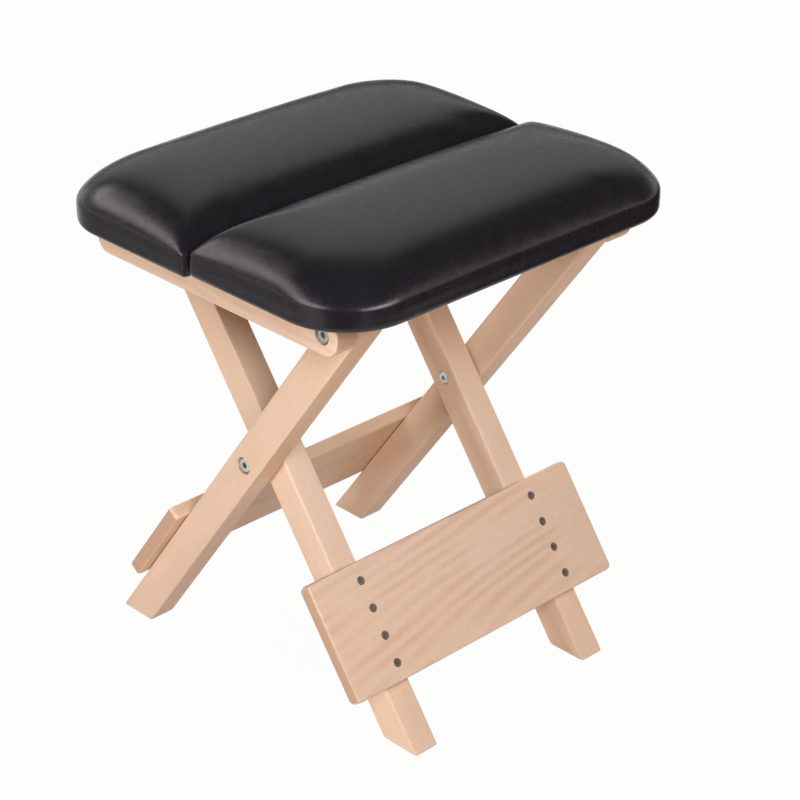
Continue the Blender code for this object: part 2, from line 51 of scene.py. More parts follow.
# The photograph's camera
PHOTO_SIDE = 800
CAMERA_AZIMUTH = math.radians(45.898)
CAMERA_ELEVATION = math.radians(28.365)
CAMERA_ROLL = math.radians(0.2436)
CAMERA_DISTANCE = 1896.7 * MM
CAMERA_TARGET = Vector((37.5, 0, 195.0)) * MM
FOCAL_PIXELS = 2336.1
AXIS_PIXEL = (401.8, 436.7)
SENSOR_WIDTH = 36.0

# Studio, with angles in degrees
FLOOR_HALF_SIDE = 9.0
FLOOR_DROP = 0.3 * MM
WALL_RADIUS = 8.8
WALL_HEIGHT = 2.1
WALL_SIDES = 64
FLOOR_COLOUR = (0.50, 0.34, 0.19, 1)
FLOOR_SEEN_WHITE = 0.97
FILL_LIGHT = (0.215, 0.135, 0.075, 1)
CEILING_COLOUR = (0.07, 0.07, 0.07)
SEEN_WHITE = (1, 1, 1, 1)
BACKDROP = {"azimuth": 226, "half_width": 20, "soft": 18, "low": 0.23, "high": 0.90, "top": 50, "end": 62}
SOFTBOX_HALF_HEIGHT = 5
SOFTBOXES = (
    {"azimuth": -58, "elevation": 30, "half_width": 26, "soft": (14, 4), "brightness": 4.1},
    {"azimuth": -7, "elevation": 29, "half_width": 12, "soft": (16, 4), "brightness": 9.0},
    {"azimuth": 94, "elevation": 20, "half_width": 11, "soft": (24, 5), "brightness": 13.0},
)
LAMP_COLOUR = (0.93, 1.0, 1.12)
LAMPS = {
    "left_box": {"azimuth": -2, "elevation": 2, "distance": 3.0, "size": 0.5, "watts": 36},
    "rear_box": {"azimuth": 222, "elevation": 28, "distance": 2.2, "size": 1.0, "watts": 30},
    "front_key": {"azimuth": 57, "elevation": 36, "distance": 2.0, "size": 0.9, "watts": 33.5},
}
DARK_FLAG = 0.02
GREY_FLAG = 0.42
FLAG_DISTANCE = 0.75
FLAGS = {
    "right_flag": {"azimuth": 150, "width": 1.1, "bottom": 0.0, "top": 0.42, "shade": DARK_FLAG},
    "front_flag": {"azimuth": 100, "width": 0.9, "bottom": 0.0, "top": 0.42, "shade": DARK_FLAG},
    "left_flag": {"azimuth": -42, "width": 1.1, "bottom": 0.0, "top": 0.42, "shade": GREY_FLAG},
    "corner_flag": {"azimuth": 42, "width": 0.6, "bottom": 0.0, "top": 0.6, "shade": DARK_FLAG},
    "rear_flag": {"azimuth": 226, "width": 1.3, "bottom": 0.36, "top": 0.5, "shade": DARK_FLAG},
}

# Frame sizes and shading that the looks follow
LEG_LEAN = math.radians(36.2)
PLANK_SCREWS = 8
SEAT_SCREWS = 4
SOFT_EDGE_ANGLE = math.radians(40)
FACE_WEIGHT = 100
MERGE_DISTANCE = 0.01 * MM

# Beech: colours, rings, and how each kind of board is cut from the tree, with draws in mm and degrees
BEECH_ROSY = (0.815, 0.595, 0.445, 1)
BEECH_WARM = (0.825, 0.595, 0.415, 1)
BEECH_RING = (0.70, 0.465, 0.305, 1)
BEECH_STREAK = (0.71, 0.49, 0.335, 1)
BEECH_FLECK = (0.50, 0.31, 0.20, 1)
BEECH_END = (0.50, 0.30, 0.185, 1)
RING_STRETCH = (1, 1, 0.16)
RING_WANDER = 8.0
RING_WANDER_SCALE = 0.4
PATCH_SCALE = (26, 26, 9)
FIBRE_SCALE = (1100, 1100, 22)
FLECK_SCALE = (900, 900, 190)
TONE_SCALE = (14, 14, 4)
STREAK_SHARE = 0.25
FLECK_SHARE = 0.2
FLECK_DEPTH = 0.6
END_GRAIN_SHARE = 0.8
BEECH_BUMP = (0.12, 0.2 * MM)
BEECH_ROUGHNESS = (0.40, 0.54)
PLANK_HEART = 26 * MM
PLANK_HEART_SWAY = 14
PLANK_TILT = math.radians(-8)
PLANK_RING_SPACING = 7.5 * MM
PLANK_FIGURE = 0.75
BAR_HEART_ACROSS = (25, 60)
BAR_HEART_ALONG = (20, 50)
BAR_TILT = 1.2
BAR_RING_SPACING = 3.4 * MM
BAR_FIGURE = 0.4
# Rails are painted lighter than the other boards: painted light that makes up for the shade under the
# seat's overhang
RAIL_PAINTED_LIGHT = 1.12
BOARD_BRIGHTNESS = (0.98, 1.02)
GRAIN_SEEDS = (1, 9)

# Other materials
WAVE_RADIANS = 20
# The leatherette's groove colour is painted shade in the grooves between the pebbles
LEATHER_GROOVE_SHADE = (0.0102, 0.0090, 0.0106, 1)
LEATHER_DARK = (0.0118, 0.0102, 0.0122, 1)
LEATHER_PALE = (0.0152, 0.0134, 0.0156, 1)
LEATHER_GLOSS_TINT = (1.0, 0.90, 0.97, 1)
LEATHER_GLOSS = 0.42
LEATHER_ROUGHNESS = (0.24, 0.30)
LEATHER_BUMP = (0.10, 0.12 * MM)
PEBBLE_SCALE = 1150.0
PEBBLE_DEPTH = 0.6
# The cloth's gap colour is painted shade between the threads
CLOTH_GAP_SHADE = (0.008, 0.008, 0.008, 1)
CLOTH_DARK = (0.016, 0.016, 0.017, 1)
CLOTH_PALE = (0.034, 0.033, 0.034, 1)
CLOTH_PITCH = 0.9 * MM
PLY_PALE = (0.66, 0.50, 0.33, 1)
PLY_STREAK = (0.56, 0.40, 0.25, 1)
PLY_DARK = (0.40, 0.26, 0.15, 1)
PLY_PAIR = 4.8 * MM
ZINC_BRIGHT = (0.66, 0.655, 0.64, 1)
ZINC_DULL = (0.50, 0.495, 0.48, 1)
SCREW_BRIGHT = (0.24, 0.19, 0.17, 1)
SCREW_DULL = (0.15, 0.12, 0.11, 1)

# Seat halves
OUTER_CORNER_RADIUS = 58.0 * MM
SPLIT_CORNER_RADIUS = 5.0 * MM
LEAST_CORNER_RADIUS = 2.0 * MM
EDGE_HEIGHT = 15.0 * MM
EDGE_TUCK = 3.0 * MM
TUCK_HEIGHT = 5.0 * MM
CROWN_HEIGHT = 35.5 * MM
CROWN_POWER = 3.2
CROWN_ROOT = 0.62
CROWN_ROUNDING = 0.7
CROWN_RUN = 92.0 * MM
RIDGE_WIDTH = 6.0 * MM
COVER_THICKNESS = 0.9 * MM
OUTLINE_STEP = 4.4 * MM
LEAST_CORNER_STEPS = 4
LEAST_SIDE_STEPS = 2
HEM_LIFT = 0.55 * MM
EDGE_RINGS = 5
DOME_RINGS = 26

# Rings of the covers, in mm in from the plan's edge or up from the underside
HEM_INSETS = (22, 20, 18, 16.5, 14.5, 13, 10.5, 8, 5.5)
HEM_LIFTS_FROM = 11.5
HEM_LIFTED_AT = 15.5
SIDE_HEIGHTS = (6.5, 8, 9.5, 11, 12.2, 13.2, 14.1)

# Swelling of the cushions
CLOTH_SETTINGS = {
    "quality": 5,
    "tension_stiffness": 25,
    "compression_stiffness": 25,
    "shear_stiffness": 10,
    "bending_stiffness": 2,
    "use_pressure": True,
    "uniform_pressure_force": 4.0,
    "vertex_group_mass": "held",
}
SWELL_ROOM = 3.0 * MM
SWELL_FRAMES = 20
SWELL_LIMIT = 5.0 * MM
LEAST_SWELL = 0.001 * MM
HELD_UP_TO = 2 * MM
FREE_FROM = 12 * MM
FORM_PULL = 0.6
FORM_FADE = 16.0 * MM
CROWN_STARTS = 17 * MM
CROWN_FULL_FROM = 27 * MM
CROWN_SMOOTHING = 40
CROWN_SMOOTHING_FACTOR = 0.5

# Creases, gathers, tucks and ripples of the covers, each band with four heights in mm
SIDE_BAND = (1, 6, 16, 30)
SIDE_DRAW = 0.7 * MM
CREASE_DEPTH = 0.9 * MM
CREASE_WIDTH = 1.5 * MM
CREASE_FULL_WITHIN = 8 * MM
CREASE_REACH = 60.0 * MM
CREASE_LEAST_SHARE = 0.3
GATHER_BAND = (0.5, 3, 3, 10)
GATHER_DEPTH = 0.3 * MM
GATHER_MEAN = 0.6
GATHER_SPREAD = 0.5
GATHER_SWAY = 0.3
SWAY_PER_METRE = 30
TUCK_BAND = (1, 4, 14, 21)
TUCK_DEPTH = 0.8 * MM
TUCK_WIDTH = 1.6 * MM
RIPPLE_BAND = (13, 17, 24, 38)
RIPPLE_DEPTH = 0.2 * MM
RIPPLE_SIZE = 28.0 * MM

# Lining and staples under the seat halves, with rings and a band in mm in from the lining's edge
EDGE_SAMPLE = 2.0 * MM
POINT_BLOCK = 4000
LINING_INSET = 17.0 * MM
LINING_STEP = 4.0 * MM
LINING_RINGS = (0, 0.8, 2, 3.5, 5, 7, 10, 14, 20, 28, 38, 50)
LINING_THICKNESS = 0.45 * MM
LINING_PUCKER = 0.3 * MM
PUCKER_BAND = (0, 3, 8, 24)
STAPLE_INSET = 3.0 * MM
STAPLE_SPACING = 26.0 * MM
STAPLE_CROWN = 9.5 * MM
STAPLE_WIDTH = 1.1 * MM
STAPLE_THICKNESS = 0.5 * MM
STAPLE_INNER_BEND = 1.3
STAPLE_LEG = 6.0 * MM
STAPLE_PROUD = 0.2 * MM
STAPLE_SLANT = 0.16
RAIL_BANDS = ((62.5 * MM, 83.5 * MM), (138.0 * MM, 159.0 * MM))
RAIL_MARGIN = 7.0 * MM

# Wood screws
SCREW_HEAD_RADIUS = 3.8 * MM
SCREW_HEAD_HEIGHT = 2.4 * MM
HEAD_PROFILE = ((0.78, 0.0), (0.9, 0.04), (0.97, 0.14), (1.0, 0.3), (0.98, 0.45), (0.62, 1.0))
SCREW_SIDES = 28
RECESS_LEVELS = (
    {"reach": 1.9 * MM, "half_slot": 0.45 * MM, "height": -0.12 * MM},
    {"reach": 1.3 * MM, "half_slot": 0.32 * MM, "height": -1.1 * MM},
)
SCREW_POINT = 5.0 * MM
SCREW_TIP_SHARE = 0.04
THREAD_PITCH = 2.2 * MM
THREAD_STEP = 0.55 * MM
THREAD_SIDES = 12
THREAD_ROOT = 1.35 * MM
THREAD_CREST = 1.85 * MM
THREAD_HALF_WIDTH = 0.28

PLAIN_SOCKETS = {
    "specular": "Specular IOR Level",
    "tint": "Specular Tint",
    "sheen": "Sheen Weight",
    "metallic": "Metallic",
}


class Paint:
    """A material in the making: adds nodes, feeds their inputs and hands back their outputs."""

    def __init__(self, name):
        self.material = bpy.data.materials.new(name)
        self.material.use_nodes = True
        self.tree = self.material.node_tree
        self.shader = self.tree.nodes["Principled BSDF"]

    def feed(self, socket, value):
        if isinstance(value, bpy.types.NodeSocket):
            self.tree.links.new(value, socket)
        else:
            socket.default_value = value

    def node(self, kind, output, inputs, **settings):
        made = self.tree.nodes.new("ShaderNode" + kind)
        for key, value in settings.items():
            setattr(made, key, value)
        for key, value in inputs.items():
            self.feed(made.inputs[key], value)
        return made.outputs[output]

    def place(self):
        return self.node("TexCoord", "Object", {})

    def scaled(self, vector, scale):
        return self.node("Mapping", "Vector", {"Vector": vector, "Scale": scale})

    def noise(self, vector, scale, detail=2.0, roughness=0.5):
        inputs = {"Vector": vector, "Scale": scale, "Detail": detail, "Roughness": roughness}
        return self.node("TexNoise", "Fac", inputs)

    def spread(self, value, low, high, to_low=0.0, to_high=1.0):
        inputs = {"Value": value, "From Min": low, "From Max": high, "To Min": to_low, "To Max": to_high}
        return self.node("MapRange", "Result", inputs, interpolation_type="SMOOTHSTEP")

    def math(self, operation, first, second=0.0):
        return self.node("Math", "Value", {0: first, 1: second}, operation=operation)

    def mix(self, share, first, second, blend="MIX"):
        return self.node("Mix", 2, {0: share, 6: first, 7: second}, data_type="RGBA", blend_type=blend)

    def bump(self, height, strength, distance):
        inputs = {"Height": height, "Strength": strength, "Distance": distance}
        self.feed(self.shader.inputs["Normal"], self.node("Bump", "Normal", inputs))

    def finish(self, colour, rough, **plain):
        """Feeds colour and roughness, sets the other sockets by number and hands back the material."""
        self.feed(self.shader.inputs["Base Color"], colour)
        self.feed(self.shader.inputs["Roughness"], rough)
        for key, value in plain.items():
            self.shader.inputs[PLAIN_SOCKETS[key]].default_value = value
        return self.material


def direction(azimuth, elevation):
    """Unit vector towards a place seen at that azimuth, from the left side round to the front."""
    flat = math.cos(elevation)
    return Vector((math.sin(azimuth) * flat, -math.cos(azimuth) * flat, math.sin(elevation)))


def make_camera():
    back = direction(CAMERA_AZIMUTH, CAMERA_ELEVATION)
    level = Vector((math.cos(CAMERA_AZIMUTH), math.sin(CAMERA_AZIMUTH), 0))
    upright = back.cross(level)
    right = level * math.cos(CAMERA_ROLL) + upright * math.sin(CAMERA_ROLL)
    up = back.cross(right)
    data = bpy.data.cameras.new("camera")
    data.sensor_width = SENSOR_WIDTH
    data.lens = FOCAL_PIXELS / PHOTO_SIDE * SENSOR_WIDTH
    data.shift_x = (PHOTO_SIDE / 2 - AXIS_PIXEL[0]) / PHOTO_SIDE
    data.shift_y = (AXIS_PIXEL[1] - PHOTO_SIDE / 2) / PHOTO_SIDE
    camera = bpy.data.objects.new("camera", data)
    turn = Matrix((right, up, back)).transposed().to_4x4()
    camera.matrix_world = Matrix.Translation(CAMERA_TARGET + back * CAMERA_DISTANCE) @ turn
    bpy.context.scene.collection.objects.link(camera)
    bpy.context.scene.camera = camera


def seen_rays(tree):
    """Output that is 1 for camera, glossy and transmission rays, and 0 for the rays that only light."""
    path = tree.nodes.new("ShaderNodeLightPath")
    both = tree.nodes.new("ShaderNodeMath")
    both.operation = "MAXIMUM"
    tree.links.new(path.outputs["Is Camera Ray"], both.inputs[0])
    tree.links.new(path.outputs["Is Glossy Ray"], both.inputs[1])
    every = tree.nodes.new("ShaderNodeMath")
    every.operation = "MAXIMUM"
    tree.links.new(both.outputs[0], every.inputs[0])
    tree.links.new(path.outputs["Is Transmission Ray"], every.inputs[1])
    return every.outputs[0]


def make_world():
    """Even fill light, and what reflections see of the studio: a backdrop, softboxes and a dark room."""
    world = bpy.data.worlds.new("studio")
    world.use_nodes = True
    bpy.context.scene.world = world
    tree = world.node_tree

    def add(kind, *inputs, **settings):
        made = tree.nodes.new("ShaderNode" + kind)
        for key, value in settings.items():
            setattr(made, key, value)
        for socket, value in zip(made.inputs, inputs):
            if isinstance(value, bpy.types.NodeSocket):
                tree.links.new(value, socket)
            else:
                socket.default_value = value
        return made

    def reckon(operation, *inputs):
        return add("Math", *inputs, operation=operation).outputs[0]

    def fade(value, near, soft, brightness):
        """Brightness where the value is below near, nothing at near and soft together or beyond."""
        limits = (near, near + soft, brightness, 0.0)
        return add("MapRange", value, *limits, interpolation_type="SMOOTHSTEP").outputs[0]

    look = tree.nodes.new("ShaderNodeTexCoord").outputs["Generated"]
    height = reckon("ARCSINE", add("SeparateXYZ", look).outputs["Z"])

    def turn_from(azimuth):
        """How far a direction is turned from an azimuth, either way."""
        middle = direction(math.radians(azimuth), 0)
        side = Vector((-middle.y, middle.x, 0))
        along = add("VectorMath", look, middle, operation="DOT_PRODUCT").outputs["Value"]
        across = add("VectorMath", look, side, operation="DOT_PRODUCT").outputs["Value"]
        return reckon("ABSOLUTE", reckon("ARCTAN2", across, along))

    top = math.radians(BACKDROP["top"])
    turned = turn_from(BACKDROP["azimuth"])
    wide = fade(turned, math.radians(BACKDROP["half_width"]), math.radians(BACKDROP["soft"]), 1.0)
    tall = fade(height, top, math.radians(BACKDROP["end"]) - top, 1.0)
    ramp = add("MapRange", height, 0.0, top, BACKDROP["low"], BACKDROP["high"]).outputs[0]
    level = reckon("MULTIPLY", reckon("MULTIPLY", wide, tall), ramp)
    for box in SOFTBOXES:
        lift = reckon("ABSOLUTE", reckon("SUBTRACT", height, math.radians(box["elevation"])))
        soft_turn, soft_lift = [math.radians(angle) for angle in box["soft"]]
        wide = fade(turn_from(box["azimuth"]), math.radians(box["half_width"]), soft_turn, 1.0)
        tall = fade(lift, math.radians(SOFTBOX_HALF_HEIGHT), soft_lift, box["brightness"])
        level = reckon("ADD", level, reckon("MULTIPLY", wide, tall))
    room = add("VectorMath", CEILING_COLOUR, operation="ADD")
    tree.links.new(level, room.inputs[1])
    choice = add("Mix", seen_rays(tree), data_type="RGBA")
    choice.inputs[6].default_value = FILL_LIGHT
    tree.links.new(room.outputs[0], choice.inputs[7])
    tree.links.new(choice.outputs[2], tree.nodes["Background"].inputs["Color"])


def add_object(name, mesh, material):
    mesh.materials.append(material)
    item = bpy.data.objects.new(name, mesh)
    bpy.context.scene.collection.objects.link(item)
    return item


def four_sided(name, corners):
    mesh = bpy.data.meshes.new(name)
    mesh.from_pydata(corners, [], [(0, 1, 2, 3)])
    return mesh


def bmesh_to_mesh(name, shape):
    mesh = bpy.data.meshes.new(name)
    shape.to_mesh(mesh)
    shape.free()
    return mesh


def make_floor():
    """Pale floor that shows nearly white and keeps a soft shadow, and a far low wall of the same white."""
    paint = Paint("floor")
    paint.material.cycles.emission_sampling = "NONE"
    matte = paint.node("BsdfDiffuse", "BSDF", {"Color": FLOOR_COLOUR})
    glow = paint.node("Emission", "Emission", {"Color": SEEN_WHITE})
    share = paint.math("MULTIPLY", seen_rays(paint.tree), FLOOR_SEEN_WHITE)
    both = paint.node("MixShader", "Shader", {0: share, 1: matte, 2: glow})
    paint.tree.nodes.remove(paint.shader)
    paint.feed(paint.tree.nodes["Material Output"].inputs["Surface"], both)
    side = FLOOR_HALF_SIDE
    corners = [(x * side, y * side, -FLOOR_DROP) for x, y in ((-1, -1), (1, -1), (1, 1), (-1, 1))]
    floor = add_object("floor", four_sided("floor", corners), paint.material)
    shape = bmesh.new()
    turns = [2 * math.pi * index / WALL_SIDES for index in range(WALL_SIDES)]
    foot = [direction(turn, 0) * WALL_RADIUS for turn in turns]
    add_loft(shape, [foot, [point + Vector((0, 0, WALL_HEIGHT)) for point in foot]])
    wall = add_object("wall", bmesh_to_mesh("wall", shape), paint.material)
    wall.visible_diffuse = False
    wall.visible_shadow = False


def make_lamps():
    """Large soft lamps. Their gloss comes from the softboxes that the world holds in their places."""
    for name, facts in LAMPS.items():
        data = bpy.data.lights.new(name, "AREA")
        data.shape = "RECTANGLE"
        data.size = facts["size"]
        data.size_y = facts["size"]
        data.energy = facts["watts"]
        data.color = LAMP_COLOUR
        lamp = bpy.data.objects.new(name, data)
        towards = direction(math.radians(facts["azimuth"]), math.radians(facts["elevation"]))
        lamp.location = CAMERA_TARGET + towards * facts["distance"]
        lamp.rotation_euler = towards.to_track_quat("Z", "Y").to_euler()
        lamp.visible_glossy = False
        lamp.visible_camera = False
        bpy.context.scene.collection.objects.link(lamp)


def make_flags():
    """Dark or grey upright cards that only reflections see, as a studio keeps gloss off a dark cushion."""
    for name, facts in FLAGS.items():
        paint = Paint(name)
        paint.material.cycles.emission_sampling = "NONE"
        shade = facts["shade"]
        glow = paint.node("Emission", "Emission", {"Color": (shade, shade, shade, 1)})
        paint.tree.nodes.remove(paint.shader)
        paint.feed(paint.tree.nodes["Material Output"].inputs["Surface"], glow)
        azimuth = math.radians(facts["azimuth"])
        middle = direction(azimuth, 0) * FLAG_DISTANCE
        along = Vector((math.cos(azimuth), math.sin(azimuth), 0)) * facts["width"] / 2
        low = Vector((0, 0, facts["bottom"]))
        high = Vector((0, 0, facts["top"]))
        corners = [middle - along + low, middle + along + low, middle + along + high, middle - along + high]
        flag = add_object(name, four_sided(name, corners), paint.material)
        flag.visible_camera = False
        flag.visible_diffuse = False
        flag.visible_shadow = False


# Materials
def wave_scale(spacing):
    """Scale of a wave texture whose waves lie that far apart."""
    return 2 * math.pi / WAVE_RADIANS / spacing


def beech(name, axes, centre, heart, tilt, seed, spacing, figure, bright):
    """Beech board. axes are its thickness, width and length, heart the tree's axis off its middle."""
    paint = Paint(name)
    turn = Matrix.Rotation(tilt, 3, "Y") @ Matrix(axes)
    shift = Vector((heart[0], heart[1], seed)) - turn @ centre
    local = paint.node(
        "Mapping", "Vector", {"Vector": paint.place(), "Rotation": turn.to_euler(), "Location": shift}
    )
    ring_inputs = {
        "Vector": paint.scaled(local, RING_STRETCH),
        "Scale": wave_scale(spacing),
        "Distortion": RING_WANDER,
        "Detail": 2.0,
        "Detail Scale": RING_WANDER_SCALE,
    }
    late_wood = paint.node(
        "TexWave", "Fac", ring_inputs, wave_type="RINGS", rings_direction="Z", wave_profile="SIN"
    )
    cloudy = paint.noise(paint.scaled(local, PATCH_SCALE), 1.0)
    patch = paint.spread(cloudy, 0.4, 0.62, 0.1 * figure, figure)
    rings = paint.math("MULTIPLY", late_wood, patch)
    fibre = paint.noise(paint.scaled(local, FIBRE_SCALE), 1.0, 3.0)
    fleck = paint.spread(paint.noise(paint.scaled(local, FLECK_SCALE), 1.0, 1.0), 0.60, 0.72)
    tone = paint.noise(paint.scaled(local, TONE_SCALE), 1.0)
    ground = paint.mix(paint.spread(tone, 0.35, 0.65), BEECH_ROSY, BEECH_WARM)
    # bright sets each board's tone; on the rails it also carries painted light
    ground = paint.node("HueSaturation", "Color", {"Color": ground, "Value": bright})
    ringed = paint.mix(rings, ground, BEECH_RING)
    streaked = paint.mix(paint.spread(fibre, 0.35, 0.7, 0.0, STREAK_SHARE), ringed, BEECH_STREAK)
    flecked = paint.mix(paint.math("MULTIPLY", fleck, FLECK_SHARE), streaked, BEECH_FLECK)
    normal = paint.node("TexCoord", "Normal", {})
    facing = paint.node(
        "VectorMath", "Value", {0: normal, 1: Matrix(axes)[2]}, operation="DOT_PRODUCT"
    )
    end_grain = paint.spread(paint.math("ABSOLUTE", facing), 0.75, 0.97, 0.0, END_GRAIN_SHARE)
    colour = paint.mix(end_grain, flecked, BEECH_END)
    height = paint.math("SUBTRACT", fibre, paint.math("MULTIPLY", fleck, FLECK_DEPTH))
    paint.bump(height, *BEECH_BUMP)
    return paint.finish(colour, paint.spread(fibre, 0.2, 0.8, *BEECH_ROUGHNESS))


def leatherette():
    """Smooth charcoal artificial leather with a fine pebble grain."""
    paint = Paint("leatherette_grain")
    place = paint.place()
    cells = paint.node(
        "TexVoronoi", "Distance", {"Vector": place, "Scale": PEBBLE_SCALE}, feature="DISTANCE_TO_EDGE"
    )
    pebble = paint.spread(cells, 0.0, 0.22)
    crease = paint.noise(place, 420.0, 3.0, 0.6)
    cloudy = paint.noise(place, 38.0, 2.0)
    height = paint.math("ADD", paint.math("MULTIPLY", pebble, PEBBLE_DEPTH), crease)
    paint.bump(height, *LEATHER_BUMP)
    cloud = paint.spread(cloudy, 0.35, 0.65)
    shade = paint.mix(cloud, LEATHER_DARK, LEATHER_PALE)
    # The grooves between the pebbles take a darker colour: painted shade in the grooves
    colour = paint.mix(pebble, LEATHER_GROOVE_SHADE, shade)
    rough = paint.spread(paint.noise(place, 90.0, 3.0), 0.3, 0.7, *LEATHER_ROUGHNESS)
    return paint.finish(colour, rough, specular=LEATHER_GLOSS, tint=LEATHER_GLOSS_TINT)


def lining_cloth():
    """Thin black woven cloth."""
    paint = Paint("lining_weave")
    place = paint.place()
    threads = {"Vector": place, "Scale": wave_scale(CLOTH_PITCH), "Distortion": 0.6, "Detail Scale": 0.3}
    warp = paint.node("TexWave", "Fac", threads, wave_type="BANDS", bands_direction="X")
    weft = paint.node("TexWave", "Fac", threads, wave_type="BANDS", bands_direction="Y")
    weave = paint.math("MULTIPLY", warp, weft)
    slub = paint.noise(paint.scaled(place, (200, 900, 200)), 1.0, 2.0)
    paint.bump(paint.math("ADD", weave, slub), 0.35, 0.15 * MM)
    thread = paint.mix(slub, CLOTH_DARK, CLOTH_PALE)
    # The gaps between the threads take a darker colour: painted shade between the threads
    colour = paint.mix(weave, CLOTH_GAP_SHADE, thread)
    return paint.finish(colour, paint.spread(weave, 0, 1, 0.98, 0.86), sheen=0.15)


def plywood():
    """Birch plywood: pale faces with long streaks and alternating plies along its edges."""
    paint = Paint("plywood_plies")
    place = paint.place()
    height = paint.node("SeparateXYZ", "Z", {"Vector": place})
    ply = paint.math("FRACT", paint.math("DIVIDE", height, PLY_PAIR))
    layer = paint.spread(ply, 0.46, 0.54)
    streak = paint.noise(paint.scaled(place, (420, 14, 420)), 1.0, 3.0)
    pale = paint.mix(streak, PLY_PALE, PLY_STREAK)
    colour = paint.mix(paint.math("MULTIPLY", layer, 0.45), pale, PLY_DARK)
    paint.bump(streak, 0.2, 0.2 * MM)
    return paint.finish(colour, paint.spread(streak, 0.2, 0.8, 0.55, 0.7))


def metal(name, bright, dull, roughness, metallic):
    """Coated steel with a cloudy finish and fine handling marks."""
    paint = Paint(name)
    place = paint.place()
    cloudy = paint.noise(place, 520.0, 3.0, 0.6)
    marks = paint.noise(paint.scaled(place, (2600, 2600, 500)), 1.0, 2.0)
    colour = paint.mix(paint.spread(cloudy, 0.35, 0.7), bright, dull)
    paint.bump(paint.math("ADD", marks, cloudy), 0.08, 0.08 * MM)
    rough = paint.spread(marks, 0.3, 0.75, *roughness)
    return paint.finish(colour, rough, metallic=metallic)


# Helpers for the CAD nodes
def soft_edges():
    """Modifier group that joins a node's faces and rounds the shading of its shallow edges."""
    group = bpy.data.node_groups.new("soft_edges", "GeometryNodeTree")
    group.interface.new_socket("Geometry", in_out="INPUT", socket_type="NodeSocketGeometry")
    group.interface.new_socket("Geometry", in_out="OUTPUT", socket_type="NodeSocketGeometry")
    start = group.nodes.new("NodeGroupInput")
    end = group.nodes.new("NodeGroupOutput")
    plain = group.nodes.new("GeometryNodeRemoveAttribute")
    plain.inputs["Name"].default_value = "custom_normal"
    joined = group.nodes.new("GeometryNodeMergeByDistance")
    joined.inputs["Distance"].default_value = MERGE_DISTANCE
    smooth = group.nodes.new("GeometryNodeSetShadeSmooth")
    angle = group.nodes.new("GeometryNodeInputMeshEdgeAngle")
    steep = group.nodes.new("FunctionNodeCompare")
    steep.operation = "GREATER_THAN"
    steep.inputs["B"].default_value = SOFT_EDGE_ANGLE
    sharp = group.nodes.new("GeometryNodeSetShadeSmooth")
    sharp.domain = "EDGE"
    sharp.inputs["Shade Smooth"].default_value = False
    group.links.new(start.outputs[0], plain.inputs["Geometry"])
    group.links.new(plain.outputs["Geometry"], joined.inputs["Geometry"])
    group.links.new(joined.outputs["Geometry"], smooth.inputs["Geometry"])
    group.links.new(smooth.outputs["Geometry"], sharp.inputs["Geometry"])
    group.links.new(angle.outputs["Unsigned Angle"], steep.inputs["A"])
    group.links.new(steep.outputs["Result"], sharp.inputs["Selection"])
    group.links.new(sharp.outputs["Geometry"], end.inputs[0])
    return group


def dress(node, material):
    """Gives a CAD node its material and soft shading."""
    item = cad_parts[node]
    for entry in item.material_slots:
        entry.material = material
    joined = item.modifiers.new("soft_edges", "NODES")
    joined.node_group = SOFT_EDGES
    even = item.modifiers.new("even_shading", "WEIGHTED_NORMAL")
    even.keep_sharp = True
    even.weight = FACE_WEIGHT


def node_centre(node):
    low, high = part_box(node)
    return (Vector(low) + Vector(high)) / 2


def dress_frame():
    """Beech on the legs, planks and rails, plywood on the boards and steel on the fittings."""
    along_y = Vector((0, 1, 0))
    along_z = Vector((0, 0, 1))
    outer_length = Vector((math.sin(LEG_LEAN), 0, math.cos(LEG_LEAN)))
    outer_width = Vector((math.cos(LEG_LEAN), 0, -math.sin(LEG_LEAN)))
    inner_length = Vector((-math.sin(LEG_LEAN), 0, math.cos(LEG_LEAN)))
    inner_width = Vector((math.cos(LEG_LEAN), 0, math.sin(LEG_LEAN)))
    boards = {
        "outer_leg": (along_y, outer_width, outer_length),
        "inner_leg": (along_y, inner_width, inner_length),
        "outer_rail": (along_y, along_z, Vector((1, 0, 0))),
        "inner_rail": (along_y, along_z, Vector((1, 0, 0))),
        "front_stretcher": (inner_width, inner_length, along_y),
        "rear_stretcher": (-outer_width, outer_length, along_y),
    }
    draws = random.Random(7)
    nodes = sorted(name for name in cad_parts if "screw" not in name)
    for prefix, axes in boards.items():
        for node in [name for name in nodes if name.startswith(prefix)]:
            if "stretcher" in prefix:
                heart = (PLANK_HEART, draws.uniform(-PLANK_HEART_SWAY, PLANK_HEART_SWAY) * MM)
                tilt = PLANK_TILT
                spacing = PLANK_RING_SPACING
                figure = PLANK_FIGURE
            else:
                heart = (draws.uniform(*BAR_HEART_ACROSS) * MM, draws.uniform(*BAR_HEART_ALONG) * MM)
                tilt = math.radians(draws.uniform(-BAR_TILT, BAR_TILT))
                spacing = BAR_RING_SPACING
                figure = BAR_FIGURE
            # The other boards draw a random tone; the rails' lighter colour is painted light for the shade
            # under the seat
            bright = RAIL_PAINTED_LIGHT if "rail" in prefix else draws.uniform(*BOARD_BRIGHTNESS)
            seed = draws.uniform(*GRAIN_SEEDS)
            middle = node_centre(node)
            dress(node, beech("beech_" + node, axes, middle, heart, tilt, seed, spacing, figure, bright))
    for node in ("rear_seat_board", "front_seat_board"):
        dress(node, PLYWOOD)
    for node in nodes:
        if "bolt" in node or "washer" in node or "nut" in node:
            dress(node, STEEL)


# Helpers for new pieces
def add_piece(name, shape, body, material, slot, *nodes):
    """New piece from a bmesh, riding on a body and standing for some CAD nodes."""
    item = add_object(name, bmesh_to_mesh(name, shape), material)
    item.data.shade_smooth()
    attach(item, body)
    if nodes:
        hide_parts(*nodes)
    return item


